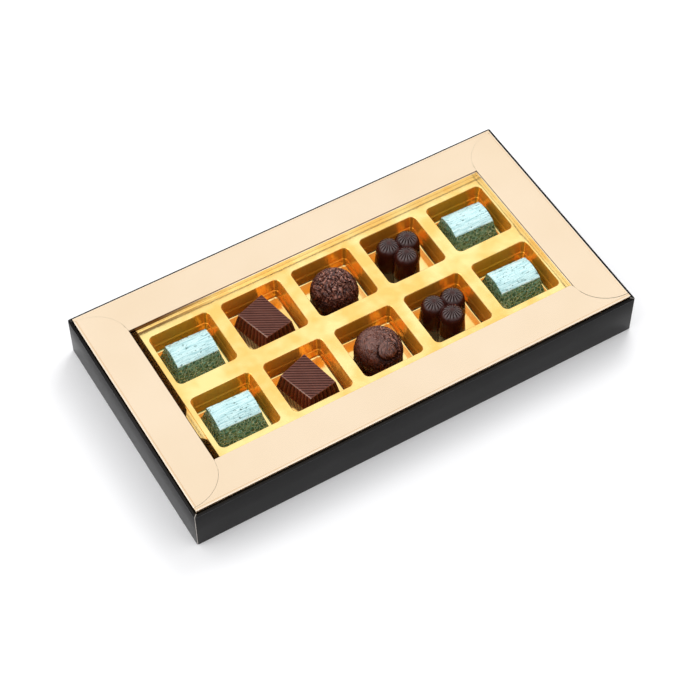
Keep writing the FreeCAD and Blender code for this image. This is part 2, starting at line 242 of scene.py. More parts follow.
# %% Patterns
def object_points(add, stretch=(1, 1, 1)):
    """Object coordinates, stretched in each direction."""
    place = add("ShaderNodeTexCoord", {}).outputs["Object"]
    return add("ShaderNodeMapping", {"Vector": place, "Scale": stretch}).outputs["Vector"]


def noise(add, points, scale, detail=2.0, rough=0.55):
    """A noise pattern from 0 to 1."""
    inputs = {"Vector": points, "Scale": scale, "Detail": detail, "Roughness": rough}
    return add("ShaderNodeTexNoise", inputs).outputs["Fac"]


def mark(add, name):
    """What a mesh attribute says at each point."""
    return add("ShaderNodeAttribute", {}, attribute_name=name).outputs["Fac"]


print("a noise scale of 1000 gives features of about", 1 / 1000 / MM, "mm")

# %% [markdown]
# ## Mixing
# Arithmetic, ramps and mixes turn patterns into colours and gloss, and bumps turn them into relief that is
# too fine for the mesh. Each helper adds one node and hands on its output, so that they can be nested.

# %% Mixes and bumps
def maths(add, operation, *values, **options):
    """One step of arithmetic."""
    return add("ShaderNodeMath", dict(enumerate(values)), operation=operation, **options).outputs["Value"]


def span(add, value, low, high):
    """A value from 0 to 1 spread between two numbers."""
    return add("ShaderNodeMapRange", {"Value": value, "To Min": low, "To Max": high}).outputs["Result"]


def threshold(add, value, low, high):
    """0 where a value is below low, 1 where it is above high, and its share in between."""
    return add("ShaderNodeMapRange", {"Value": value, "From Min": low, "From Max": high}).outputs["Result"]


def ramp(add, value, *stops):
    """Colours blended along a value: each stop is a place from 0 to 1 and a colour."""
    node = add("ShaderNodeValToRGB", {"Fac": value})
    while len(node.color_ramp.elements) < len(stops):
        node.color_ramp.elements.new(1.0)
    for element, (place, colour) in zip(node.color_ramp.elements, stops):
        element.position = place
        element.color = (*colour, 1.0)
    return node.outputs["Color"]


def blend(add, share, *ends):
    """One colour where a share is 0, another where it is 1: each is written out or comes from a node."""
    first, last = (end if isinstance(end, bpy.types.NodeSocket) else (*end, 1) for end in ends)
    return add("ShaderNodeMix", {"Factor": share, 6: first, 7: last}, data_type="RGBA").outputs[2]


def bump(add, height, depth, strength=1.0, under=None):
    """A surface normal tilted by a height pattern, depth millimetres high, on top of another one."""
    inputs = {"Height": height, "Distance": depth * MM, "Strength": strength}
    if under is not None:
        inputs["Normal"] = under
    return add("ShaderNodeBump", inputs).outputs["Normal"]


print("a bump of 0.02 mm is", 0.02 * MM, "m to Blender")

# %% [markdown]
# ## Black card
# The carton is board covered with black paper. It is not quite black: the paper has a fine tooth that runs
# along the walls and gives a soft sheen at a flat angle, and it is rubbed through to the pale board along
# cut corners. The mesh carries the wear, and noise breaks that up so that the rubbing looks accidental. The
# rim at the far sides has next to no gloss, so that it stays a dark line behind the gold.

# %% Black card finish
PALE_BOARD = (0.42, 0.39, 0.36)


def black_card_finish():
    """Dark paper with a stretched tooth, and pale board where wear times a noise is high."""
    material, shader, add = new_finish("black_card")
    tooth = noise(add, object_points(add, (0.25, 0.25, 1.0)), 3600)
    cloud = noise(add, object_points(add), 45)
    scuff = noise(add, object_points(add), 520, 4.0)
    paper = ramp(add, cloud, (0.3, (0.007, 0.0067, 0.007)), (0.7, (0.011, 0.0104, 0.0107)))
    bare = threshold(add, maths(add, "MULTIPLY", mark(add, "wear"), scuff), 0.16, 0.34)
    plug(
        shader,
        Base_Color=blend(add, bare, paper, PALE_BOARD),
        Roughness=span(add, tooth, 0.25, 0.38),
        Specular_IOR_Level=span(add, mark(add, "rim"), 0.15, 0.02),
        Normal=bump(add, tooth, 0.02, 0.6),
    )
    return material


black_card = tell(black_card_finish())

# %% [markdown]
# ## Gold card
# The frame's card is a pale satin gold. Like any metal it has nearly all its colour in the reflection, so
# it needs no more than a slow drift of tone and a fine grain. A painted highlight makes the gold paler along
# a rounded fold, and a cut edge shows the brown core of the board. The same two colours paint the window's
# lining: paler all over as a painted reflection, and dark along one stretch as painted shade.

# %% Gold card finish
FOLD_HIGHLIGHT_GOLD, CUT_BOARD_AND_SHADE = (0.93, 0.84, 0.72), (0.11, 0.045, 0.014)


def gold_card_finish():
    """A satin pale gold metal whose gloss and level drift slowly over the card."""
    material, shader, add = new_finish("gold_card", Metallic=1.0)
    drift = noise(add, object_points(add), 24)
    grain = noise(add, object_points(add), 5200)
    colour = ramp(add, drift, (0.3, (0.83, 0.665, 0.475)), (0.7, (0.86, 0.70, 0.515)))
    # Painted highlight: the fold mark makes the gold paler. The cut mark gives a cut edge's brown, and on the
    # lining it paints shade.
    folded = blend(add, mark(add, "fold"), colour, FOLD_HIGHLIGHT_GOLD)
    plug(
        shader,
        Base_Color=blend(add, mark(add, "cut"), folded, CUT_BOARD_AND_SHADE),
        Roughness=span(add, grain, 0.16, 0.26),
        Normal=bump(add, grain, 0.004, 0.5, bump(add, drift, 0.06, 0.5)),
    )
    return material


gold_card = tell(gold_card_finish())

# %% [markdown]
# ## Gold film
# The tray is a gold mirror on plastic film, and a formed mirror is never quite flat. Where the cups were
# drawn down, the film is a little milky and streaked along the pull, and its colour is painted deep amber: a
# painted reflection of gold in gold, and painted shade in the cups and on the skirt. The cups' floors stayed
# flat and polished. Three marks on the mesh tell those places apart.

# %% Gold film finish
PAINTED_AMBER = (1.0, 0.37, 0.015)


def gold_film_finish():
    """A gold mirror with slow waves and faint haze: polished where flat, milky and painted amber where drawn.
    """
    material, shader, add = new_finish("gold_film", Specular_IOR_Level=0.0)
    waves = noise(add, object_points(add), 70)
    haze = noise(add, object_points(add), 900, 3.0)
    streaks = noise(add, object_points(add, (1, 1, 0.2)), 240)
    drawn_and_shaded, flat = mark(add, "drawn_and_shaded"), mark(add, "flat")
    face = ramp(add, waves, (0.35, (0.95, 0.60, 0.175)), (0.62, (0.99, 0.78, 0.33)))
    polished = maths(add, "MULTIPLY_ADD", flat, -0.1, span(add, haze, 0.14, 0.26))
    pulled = bump(add, maths(add, "MULTIPLY", streaks, drawn_and_shaded), 0.6, 0.7, bump(add, waves, 0.16, 0.5))
    # The drawn mark paints the colour deep amber: painted reflection of gold in gold and painted shade.
    plug(
        shader,
        Base_Color=blend(add, drawn_and_shaded, face, PAINTED_AMBER),
        Metallic=maths(add, "SUBTRACT", span(add, flat, 0.85, 1.0), mark(add, "milky")),
        Roughness=maths(add, "MULTIPLY_ADD", drawn_and_shaded, 0.03, polished),
        Normal=bump(add, haze, 0.01, 0.35, pulled),
    )
    return material


gold_film = tell(gold_film_finish())

# %% [markdown]
# ## Foil
# The wrappers are pale blue-green foil. On top it is pulled tight, with fine drawn lines and a few dents,
# which get painted shade. Down the sides it is crushed into small facets that each reflect something else;
# the sides are painted darker than the top as painted shade, with painted highlights on the creases between
# the facets. Cells of a Voronoi pattern, pushed about by noise, make such facets, and their borders are the
# creases.

# %% Foil finish
TIGHT_FOIL = (0.32, (0.28, 0.50, 0.53)), (0.48, (0.53, 0.77, 0.78)), (0.7, (0.70, 0.90, 0.90))
# Painted shade darkens the crushed sides below the top's tones; dents get painted shade and creases painted
# highlights.
CRUSHED_FOIL_SHADE = (0.34, (0.03, 0.13, 0.095)), (0.5, (0.068, 0.24, 0.187)), (0.66, (0.19, 0.48, 0.40))
DENT_SHADE, CREASE_HIGHLIGHT = (0.10, 0.18, 0.17), (0.52, 0.93, 0.81)
CELL_SCALE, CELL_SHIFT = 460.0, 0.9 * MM


def crushed_cells(add):
    """Places pushed about by noise, and how far each is from the border of its cell."""
    place = object_points(add)
    wobble = add("ShaderNodeTexNoise", {"Vector": place, "Scale": 900.0}).outputs["Color"]
    push = add("ShaderNodeVectorMath", {0: wobble, "Scale": CELL_SHIFT}, operation="SCALE").outputs["Vector"]
    moved = add("ShaderNodeVectorMath", {0: place, 1: push}, operation="ADD").outputs["Vector"]
    inputs = {"Vector": moved, "Scale": CELL_SCALE}
    cells = add("ShaderNodeTexVoronoi", inputs, feature="DISTANCE_TO_EDGE").outputs["Distance"]
    return moved, cells


def foil_finish():
    """Lines and painted-shade dents on top, and where the crushed mark says so, folds in painted shade with
    painted crease highlights.
    """
    material, shader, add = new_finish("foil", Metallic=0.32, Specular_IOR_Level=0.25)
    moved, cells = crushed_cells(add)
    crush = noise(add, moved, 520, 2.5, 0.6)
    lines = noise(add, object_points(add, (0.06, 1.0, 0.4)), 2300)
    dents = noise(add, object_points(add, (0.6, 1.0, 1.0)), 900, 3.0, 0.6)
    # Painted shade in the dents, and on the sides folds in painted shade with painted highlights on their
    # creases.
    top = blend(add, threshold(add, dents, 0.33, 0.4), DENT_SHADE, ramp(add, lines, *TIGHT_FOIL))
    broken = maths(add, "ADD", threshold(add, cells, 0.02, 0.13), crush)
    folds = blend(add, threshold(add, broken, 0.47, 0.68), CREASE_HIGHLIGHT, ramp(add, crush, *CRUSHED_FOIL_SHADE))
    crushed = mark(add, "crushed")
    facets = bump(add, maths(add, "MULTIPLY", cells, crushed), 0.8, 0.8)
    plug(
        shader,
        Base_Color=blend(add, crushed, top, folds),
        Roughness=span(add, crush, 0.18, 0.36),
        Normal=bump(add, crush, 0.12, 0.4, bump(add, lines, 0.05, 0.5, facets)),
    )
    return material


foil = tell(foil_finish())

# %% [markdown]
# ## Chocolate
# Chocolate is dark, slightly soft to light, and its gloss says how it was made: a moulded praline shines, a
# ridged bar has a silky bloom, and a rolled truffle is rough with shavings. One function makes all of them
# from a few numbers. Four marks steer it: painted shade darkens and dulls grooves and shaded sides, the
# crown that faces up shines, a painted highlight pales edges, and where a truffle is coated its shavings run
# into one tone.

# %% Chocolate finishes
# The pale colour is a painted edge highlight, and the tone is the share of the dark brown used for painted
# shade.
EDGE_HIGHLIGHT, SHADE_TONE, COAT_LEVEL = (0.42, 0.30, 0.26), 0.3, 0.285
SOFTNESS = tuple(depth * MM for depth in (0.6, 0.25, 0.15))
SHAVING_TURNS = 8.0


def shavings(add):
    """Curled strokes: the fraction of a noise times some turns, torn by finer noise, even where coated."""
    curl = noise(add, object_points(add, (1, 0.8, 0.7)), 230, 1.5)
    stroke = maths(add, "FRACT", maths(add, "MULTIPLY", curl, SHAVING_TURNS))
    torn = maths(add, "MULTIPLY", stroke, noise(add, object_points(add), 620))
    return add("ShaderNodeMix", {0: mark(add, "coat"), 2: torn, 3: COAT_LEVEL}, data_type="FLOAT").outputs[0]


def chocolate_finish(name, dark, light, gloss, grain_depth, shine, flakes=0.0):
    """Brown between two tones by clouds or flakes, with fine grain, and a shine on the crown or all over."""
    softness = {"Subsurface_Weight": 0.05, "Subsurface_Radius": SOFTNESS, "Subsurface_Scale": 1.0}
    material, shader, add = new_finish(name, **softness)
    grain = noise(add, object_points(add), 2600, 4.0, 0.65)
    tilt = bump(add, grain, grain_depth, 0.5)
    if flakes:
        cloud = shavings(add)
        brown = ramp(add, cloud, (0.22, dark), (0.5, light))
        tilt = bump(add, cloud, flakes, 0.8, tilt)
    else:
        brown = ramp(add, noise(add, object_points(add), 240, 4.0), (0.3, dark), (0.72, light))
    painted_shade = mark(add, "painted_shade")
    # Painted shade darkens the brown where one mark says so, and a painted highlight pales it along edges.
    shaded = blend(add, painted_shade, brown, tuple(SHADE_TONE * part for part in dark))
    with_highlight = blend(add, mark(add, "edge_highlight"), shaded, EDGE_HIGHLIGHT)
    plug(shader, Base_Color=with_highlight, Roughness=span(add, grain, *gloss), Normal=tilt)
    if np.ndim(shine):
        lit = maths(add, "SUBTRACT", mark(add, "crown"), painted_shade, use_clamp=True)
        plug(shader, Specular_IOR_Level=span(add, lit, *shine))
    else:
        shader.inputs["Specular IOR Level"].default_value = shine
    return tell(material)


ridged_chocolate = chocolate_finish(
    "ridged_chocolate", (0.115, 0.03, 0.017), (0.155, 0.047, 0.029), (0.24, 0.36), 0.03, (0.1, 0.4))
# The truffle's light tone is partly a painted highlight: the shavings' strokes are painted nearly as bright
# as their glints.
truffle_chocolate = chocolate_finish(
    "truffle_chocolate", (0.07, 0.016, 0.009), (0.46, 0.19, 0.13), (0.14, 0.26), 0.02, (0.1, 0.7), 0.35)
nut_chocolate = chocolate_finish(
    "nut_chocolate", (0.034, 0.006, 0.004), (0.046, 0.009, 0.006), (0.1, 0.16), 0.006, (0.08, 1.0))
core_chocolate = chocolate_finish(
    "core_chocolate", (0.06, 0.024, 0.013), (0.09, 0.036, 0.02), (0.3, 0.42), 0.02, 0.4)

# %% [markdown]
# ## The carton
# A folded card tray has a tight fold at its foot, walls with a faint crease under the rim, a rolled rim as
# wide as the doubled wall, and a flat floor. One profile carried round a rounded rectangle gives all of
# that. Wear is high in the middle of each corner, where the cut paper meets, and differs from corner to
# corner. At the back and on the right the rim stands a little higher, as card that springs back does.

# %% Carton
CARTON_HALF = np.array([119.99, 64.24])
CARTON_HEIGHT, CARTON_WALL, CARTON_FLOOR, CARTON_MIDDLE = 23.05, 1.6, 1.2, 11.4
FOOT_ROUND, RIM_OUTSIDE, RIM_INSIDE = 0.35, 0.18, 0.4
RIM_CREASE, RIM_CREASE_AT, RIM_FROM = 0.09, (22.2, 22.35, 22.5, 22.65), 22.7
OUTER_CORNER, INNER_CORNER, TIGHT_CORNER = 0.9, 1.05, 0.05
CORNER_WEAR = np.array([0.55, 0.3, 0.4, 1.0])
RIM_LIFT, LIFT_RISE, FAR_RIGHT, FAR_BACK = 0.6, (12, 21), (60, 119), (20, 63)


def carton_profile():
    """Inset and height from the underside round the foot, over the rim and down inside to the floor."""
    sine, versine = quarter_arc(ARC_STEPS)
    inset = np.concatenate([
        [OUTER_CORNER],
        FOOT_ROUND * (1 - sine),
        RIM_CREASE * np.array([0, 0, 1, 1, 0]),
        RIM_OUTSIDE * versine,
        CARTON_WALL - RIM_INSIDE * (1 - sine),
        CARTON_WALL + np.array([0, 0, 0.6]),
    ])
    height = np.concatenate([
        [0],
        FOOT_ROUND * versine,
        [CARTON_MIDDLE, *RIM_CREASE_AT],
        CARTON_HEIGHT - RIM_OUTSIDE * (1 - sine),
        CARTON_HEIGHT - RIM_INSIDE * versine,
        [CARTON_MIDDLE, CARTON_FLOOR, CARTON_FLOOR],
    ])
    return inset, height


def carton_mesh():
    """The profile carried round, lifted at the far sides, with wear where a corner's push is diagonal."""
    inset, height = carton_profile()
    tight = np.maximum(OUTER_CORNER - inset, TIGHT_CORNER)
    radius = np.where(inset < OUTER_CORNER + TIGHT_CORNER, tight, INNER_CORNER)
    template = ring_template(22, 13)
    points = rings(template, *(CARTON_HALF[:, None] - inset), radius, height)
    far = np.maximum(smooth_step(*FAR_RIGHT, points[..., 0]), smooth_step(*FAR_BACK, points[..., 1]))
    points[..., 2] += RIM_LIFT * far * smooth_step(*LIFT_RISE, height)[:, None]
    rows, columns = points.shape[:2]
    faces = grid_faces(rows, columns, closed_columns=True)
    faces += [end_face(0, columns), end_face(rows - 1, columns)]
    _, push, share = template
    diagonal = 1 - np.abs(np.abs(push[:, 0]) - np.abs(push[:, 1]))
    at_corner = np.where(share.max(axis=1) == 1, diagonal, 0) ** 2 * (share @ CORNER_WEAR)
    wear = np.broadcast_to(at_corner, (rows, columns)) * (inset < CARTON_WALL)[:, None]
    rim = far * (height > RIM_FROM)[:, None]
    return make_mesh("carton", points, faces, wear=wear, rim=rim)


add_piece(carton_mesh(), black_card, "carton", "black_card", "outer_tray")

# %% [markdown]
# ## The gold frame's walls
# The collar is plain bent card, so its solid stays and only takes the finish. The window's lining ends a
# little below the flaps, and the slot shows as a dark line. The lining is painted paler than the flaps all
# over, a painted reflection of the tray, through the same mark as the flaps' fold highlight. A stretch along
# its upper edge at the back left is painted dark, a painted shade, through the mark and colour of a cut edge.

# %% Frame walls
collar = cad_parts["frame_wall"]
collar.data.materials.clear()
collar.data.materials.append(gold_card)
print("the collar keeps its solid, in", gold_card.name)

WINDOW = np.array([98.15, 42.4])
LINER_CARD, LINER_CORNER, LINER_FOOT, LINER_MIDDLE, LINER_TOP, LINER_EDGE = 0.5, 0.3, 1.25, 12, 24.2, 24.08
DIM_DEPTH, DIM_FROM, DIM_TO = 1.7, -35, -85


def liner_mesh():
    """A closed section of inset and height, up the inner face and down the outer one, round the window."""
    inset = LINER_CARD * np.array([0, 0, 0, 0, 0, 0.25, 0.75, 1, 1, 1])
    dim_edge = LINER_EDGE - DIM_DEPTH
    height = np.array([
        LINER_FOOT, LINER_MIDDLE, dim_edge - 0.2, dim_edge + 0.1, LINER_EDGE,
        LINER_TOP, LINER_TOP, LINER_EDGE, LINER_MIDDLE, LINER_FOOT,
    ])
    points = rings(ring_template(12, 9), *(WINDOW[:, None] + inset), LINER_CORNER + inset, height)
    faces = grid_faces(*points.shape[:2], closed_rows=True, closed_columns=True)
    x, y, z = np.moveaxis(points, -1, 0)
    # Painted shade along the lining's upper edge at the back left; the whole lining gets the pale fold colour
    # as a painted reflection.
    dim = (1 - smooth_step(DIM_TO, DIM_FROM, x)) * (y > WINDOW[1] - 0.1) * (z > dim_edge)
    return make_mesh("window_lining", points, faces, fold=np.ones(dim.shape), cut=dim)


add_piece(liner_mesh(), gold_card, "frame", "gold_card", "window_liner")

# %% [markdown]
# ## The gold frame's flaps
# The flaps are sheets that were scored and folded: a groove, a rounded fold with a painted highlight that
# makes the gold paler, and a cut edge on the other side. All four are one section carried along the fold,
# and only its width differs from place to place.

# %% Section of a flap
FOLD = np.array([117.9, 62.15])
FOLD_HEIGHT, HALF_CARD, OVAL_DEPTH = 24.95, 0.25, 18.0
SCORE, SCORE_DEPTH = np.array([1.0, 0.88, 0.7, 0.55]), np.array([0.0, 0.2, 0.2, 0.0])
# The stretch of the fold, in radians round it, that gets the painted highlight.
HIGHLIGHT_BEND = 1.7, 4  # radians round the fold


def flap_section(width):
    """Per station, how far in and how high: top sheet, score, half-round fold, under sheet; and its marks."""
    share = np.concatenate([np.linspace(0, 1, 9)[:-1], [0.997, 1]])
    sheet = np.full(len(share) - 1, HALF_CARD)
    bend = np.linspace(math.pi / 2, 3 * math.pi / 2, 9)
    score = SCORE * np.minimum(width / SCORE[0], 1)
    inwards = np.concatenate([
        score[:, :1] + (width - score[:, :1]) * share[::-1][:-1],
        score,
        np.broadcast_to(HALF_CARD * np.cos(bend), (len(width), len(bend))),
        width * share[1:],
    ], axis=1)
    level = np.concatenate([sheet, HALF_CARD - SCORE_DEPTH, HALF_CARD * np.sin(bend), -sheet])
    # The painted fold highlight lies on the middle of the half-round fold.
    on_fold = (bend > HIGHLIGHT_BEND[0]) & (bend < HIGHLIGHT_BEND[1])
    highlight_share = np.concatenate([np.zeros(len(sheet) + len(SCORE)), on_fold, np.zeros(len(sheet))])
    cut = np.zeros(len(level))
    cut[[0, -1]] = 1
    return inwards, level, highlight_share, cut


def flap_mesh(name, along, side, half_length, reach):
    """The section at stations along the fold, closer together towards the ends, closed at both ends."""
    station = half_length * np.sin(np.linspace(-1, 1, 181) * math.pi / 2)
    inwards, level, highlight_share, cut = flap_section(reach(station)[:, None])
    points = np.empty(inwards.shape + (3,))
    points[..., along] = station[:, None]
    points[..., 1 - along] = side * (FOLD[1 - along] - inwards)
    points[..., 2] = FOLD_HEIGHT + level
    rows, columns = inwards.shape
    faces = grid_faces(rows, columns, closed_columns=True)
    faces += [end_face(0, columns), end_face(rows - 1, columns)]
    marks = {"fold": np.broadcast_to(highlight_share, inwards.shape), "cut": np.broadcast_to(cut, inwards.shape)}
    return make_mesh(name, points, faces, crease=50, **marks)


print("a flap's section has", len(flap_section(np.ones((1, 1)))[1]), "points")

# %% [markdown]
# ## The flaps' outlines
# The short flaps end in quarter ovals, and the long ones are cut back to let them lie in the same plane,
# which leaves the curved seams at the corners. The seams are wider at the front than at the back.

# %% Flaps
def long_reach(station, seams):
    """A long flap's width: up to the window, and past its corner back to the short flap's oval and a seam."""
    seam = np.where(station < 0, *seams)
    part = np.clip((FOLD[0] - np.abs(station)) / (FOLD[0] - WINDOW[0] + seam), -1, 1)
    oval = (OVAL_DEPTH + seam) * np.sqrt(1 - part**2)
    return FOLD[1] - WINDOW[1] - oval


def short_reach(station):
    """A short flap's width: up to the window, and beyond its corner along a quarter oval."""
    part = np.clip((np.abs(station) - WINDOW[1]) / OVAL_DEPTH, 0, 1)
    return (FOLD[0] - WINDOW[0]) * np.sqrt(1 - part**2)


LONG_HALF, SHORT_HALF = FOLD[0] + HALF_CARD, WINDOW[1] + OVAL_DEPTH
FRONT_SEAMS, BACK_SEAMS = (0.12, 0.22), (0.04, 0.04)
FLAPS = {
    "flap_front": (0, -1, LONG_HALF, lambda station: long_reach(station, FRONT_SEAMS)),
    "flap_back": (0, 1, LONG_HALF, lambda station: long_reach(station, BACK_SEAMS)),
    "flap_left": (1, -1, SHORT_HALF, short_reach),
    "flap_right": (1, 1, SHORT_HALF, short_reach),
}
for name, shape in FLAPS.items():
    add_piece(flap_mesh(f"gold_{name}", *shape), gold_card, name, "gold_card", name)

# %% [markdown]
# ## The tray's cups
# A formed tray is one thin sheet: a flat face that dips into ten square cups and turns down into a skirt.
# Each cup is a stack of rings, from its share of the flat face over a rounded lip, down a drafted wall with
# a ledge, round the foot and in to the middle. Neighbours share their border points, so welding joins the
# ten cups to one sheet.

# %% Cups
TRAY_CENTRE_X, TRAY_TOP, TRAY_FOOT, TRAY_CORNER, TRAY_SHOULDER = 2.2, 21.45, 1.25, 0.5, 0.12
FACE_LOW, FACE_HIGH = np.array([-96.3, -42.3]) + TRAY_SHOULDER, np.array([95.92, 42.36]) - TRAY_SHOULDER
FACE_CORNER = TRAY_CORNER - TRAY_SHOULDER
CUP_COLUMNS, CUP_ROWS, PITCH = 5, 2, np.array([38.8, 41.5])
CAVITY_HALF, CAVITY_CORNER, CAVITY_DEPTH, DRAFT = 16.0, 2.8, 12.2, math.tan(math.radians(4))
LEDGE_DEPTH, LEDGE_DROP, LEDGE_WIDTH, LIP, FLOOR_ROUND = 7.2, 0.9, 0.5, 0.55, 1.1


def cup_middle(column, row):
    """The middle of a cup in plan, counted from the left and from the front of the tray."""
    return np.array([(column - 2) * PITCH[0], (row - 0.5) * PITCH[1]])


def cavity_profile():
    """How far inside the cavity's outline each ring lies, and how deep: lip, wall, ledge, wall and foot."""
    sine, versine = quarter_arc(ARC_STEPS)
    share = np.linspace(0, 1, 7)
    foot_at = (CAVITY_DEPTH - FLOOR_ROUND) * DRAFT + LEDGE_WIDTH
    inset = np.concatenate([
        LIP * (sine - 1),
        [3 * DRAFT],
        (LEDGE_DEPTH + LEDGE_DROP * share) * DRAFT + LEDGE_WIDTH * smooth_step(0, 1, share),
        [foot_at - DRAFT],
        foot_at + FLOOR_ROUND * versine,
    ])
    depth = np.concatenate([
        LIP * versine,
        [3],
        LEDGE_DEPTH + LEDGE_DROP * share,
        [CAVITY_DEPTH - FLOOR_ROUND - 1],
        CAVITY_DEPTH - FLOOR_ROUND * (1 - sine),
    ])
    return inset, depth


def cup_rings(template, column, row):
    """One cup: its border, two rings on the face, the profile's rings, and rings that close the floor."""
    inset, depth = cavity_profile()
    middle = cup_middle(column, row)
    at_low, at_high = np.equal((column, row), 0), np.equal((column, row), (CUP_COLUMNS - 1, CUP_ROWS - 1))
    low = np.where(at_low, FACE_LOW, middle - PITCH / 2)
    high = np.where(at_high, FACE_HIGH, middle + PITCH / 2)
    is_outer = np.where(CORNERS > 0, at_high, at_low).all(axis=1)
    radius = (template[2] @ (FACE_CORNER * is_outer))[None, :]
    border = rings(template, *((high - low)[:, None] / 2), radius, [0.0], (low + high) / 2)
    half = CAVITY_HALF - inset
    cup = rings(template, half, half, CAVITY_CORNER - inset, -depth, middle)
    between = border + (cup[:1] - border) * np.array([0.5, 0.85])[:, None, None]
    fade = np.linspace(1, 0, 7)[1:, None, None]
    floor = np.array([*middle, -CAVITY_DEPTH]) * (1 - fade) + cup[-1] * fade
    return np.concatenate([border, between, cup, floor])


print("a cup has", len(cavity_profile()[0]), "rings down its wall; the first stands at", cup_middle(0, 0))

# %% [markdown]
# ## The tray's skirt
# The outer border points of all cups, sorted by their angle from the middle, form one closed line. From it
# the sheet turns down over a tight shoulder. On the left a short flange is folded out into the gap beside
# the tray; little of the painted amber reaches it, so it keeps the face's pale gold.

# %% Skirt
SKIRT_LEVELS = 1.3, 1.3, 1.6, 10, TRAY_TOP - TRAY_FOOT
FLANGE_WIDTH, FLANGE_MIDDLE, FLANGE_HALF = 2.2, -18.0, 9.0
FLANGE_OUT, FLANGE_SAG = [0] * 7 + [1, 1.1, 0.8, 0], [0] * 7 + [0.4, 0.6, 0, 0]


def tray_outline(borders):
    """The border points a corner's radius from the face's inner box, by angle, and which way is out."""
    edge = np.concatenate(borders)[:, :2]
    core = np.clip(edge, FACE_LOW + FACE_CORNER, FACE_HIGH - FACE_CORNER)
    on_edge = np.isclose(np.linalg.norm(edge - core, axis=1), FACE_CORNER)
    edge, core = edge[on_edge], core[on_edge]
    _, order = np.unique(np.round(np.arctan2(edge[:, 1], edge[:, 0]), 7), return_index=True)
    return edge[order], (edge[order] - core[order]) / FACE_CORNER


def skirt_rings(edge, out):
    """A rounded shoulder and rings down to the foot, pushed out along the flange, and the flange's share."""
    sine, versine = quarter_arc(ARC_STEPS)
    share = np.exp(-((edge[:, 1] - FLANGE_MIDDLE) / FLANGE_HALF) ** 12) * (out[:, 0] < -0.99)
    flange = FLANGE_WIDTH * share
    aside = np.append(TRAY_SHOULDER * sine, [TRAY_SHOULDER] * len(SKIRT_LEVELS))[:, None]
    sunk = np.append(TRAY_SHOULDER * versine, SKIRT_LEVELS)[:, None]
    aside, sunk = aside + np.outer(FLANGE_OUT, flange), sunk + np.outer(FLANGE_SAG, flange)
    return np.concatenate([edge + aside[..., None] * out, -sunk[..., None]], axis=-1), share


print("the skirt drops", round(SKIRT_LEVELS[-1], 2), "mm in", len(FLANGE_OUT), "rings")

# %% [markdown]
# ## The whole tray
# Cups and skirt come together here, with their three marks: how far the film was drawn and painted amber,
# where it stayed flat, and how milky it is. Solidify then gives the sheet the film's thickness.

# %% Tray
FILM, FACE_RINGS = 0.35, 3
WALL_DRAWN_AND_SHADED, WALL_MILKY, SKIRT_DRAWN_AND_SHADED, FLANGE_LESS_AMBER = 0.9, 0.32, 0.6, 0.9


def tray_mesh():
    """Ten cups side by side and the skirt around them, with marks for drawn and painted-amber, flat and milky
    film.
    """
    template = ring_template(14, 9)
    cups = [cup_rings(template, *place) for place in np.ndindex(CUP_COLUMNS, CUP_ROWS)]
    edge, out = tray_outline([cup[0] for cup in cups])
    skirt, flange = skirt_rings(edge, out)
    rows, columns = cups[0].shape[:2]
    size = rows * columns
    faces = sum((grid_faces(rows, columns, k * size, closed_columns=True) for k in range(len(cups))), [])
    around = grid_faces(len(skirt), len(edge), len(cups) * size, closed_columns=True)
    faces += [face[::-1] for face in around]
    points = np.concatenate([np.concatenate(cups).reshape(-1, 3), skirt.reshape(-1, 3)])
    points += (TRAY_CENTRE_X, 0, TRAY_TOP)

    last_ring = FACE_RINGS + len(cavity_profile()[0])
    walls, floors = np.zeros((2, rows, columns))
    # Where the painted amber goes: the cup walls and the skirt, and little of it on the flange.
    walls[FACE_RINGS + 5:last_ring - 4] = WALL_DRAWN_AND_SHADED
    floors[last_ring - 2:] = 1
    pulled = np.outer(SKIRT_DRAWN_AND_SHADED * (np.arange(len(skirt)) >= 5), 1 - FLANGE_LESS_AMBER * flange)
    none = np.zeros_like(pulled)
    marks = {"drawn_and_shaded": (walls, pulled), "flat": (floors, none), "milky": (WALL_MILKY * walls, none)}
    marks = {
        word: np.concatenate([np.tile(in_cup.ravel(), len(cups)), on_skirt.ravel()])
        for word, (in_cup, on_skirt) in marks.items()
    }
    return make_mesh("formed_tray", points, faces, closed=False, **marks)


tray = add_piece(tray_mesh(), gold_film, "tray", "gold_film", "cavity_tray")
thickness = tray.modifiers.new("film", "SOLIDIFY")
thickness.thickness, thickness.offset, thickness.use_even_offset = FILM * MM, -1.0, True

# %% [markdown]
# ## Where the pralines lie
# Each praline stands in the middle of its cavity's floor. The front row is number one of each kind. Loaves
# and bars are blocks: a grid for the top, and rings that lead from its border to the foot. They are made
# around the origin, then turned and moved to their place.

# %% Places and blocks
FOOT = 9.3


def cavity_middle(column, row):
    """The middle of a cavity's floor, counted from the left and from the front."""
    return np.array([TRAY_CENTRE_X, 0, FOOT]) + np.append(cup_middle(column, row), 0)


def unit_grid(rows, columns):
    """Two parameters from -1 to 1 over a grid."""
    return np.meshgrid(np.linspace(-1, 1, rows), np.linspace(-1, 1, columns), indexing="ij")


def border_of(grid):
    """The points around the border of a grid, in order."""
    return np.concatenate([grid[0, :-1], grid[:-1, -1], grid[-1, :0:-1], grid[:0:-1, 0]])


def at_height(plan, height=0.0):
    """Points of a plan, all at one height."""
    return np.concatenate([plan, np.full((len(plan), 1), height)], axis=1)


def topped_block(name, top, skirts, **attributes):
    """A closed block: a top grid, the rings that lead from its border to the foot, and a flat underside."""
    rows, columns = top.shape[:2]
    first = rows * columns
    side = np.stack([border_of(top), *skirts])
    steps, count = side.shape[:2]
    faces = grid_faces(rows, columns) + grid_faces(steps, count, first, closed_columns=True)
    faces.append(end_face(steps - 1, count, first))
    points = np.concatenate([top.reshape(-1, 3), side.reshape(-1, 3)])
    return make_mesh(name, points, faces, crease=30, **attributes)


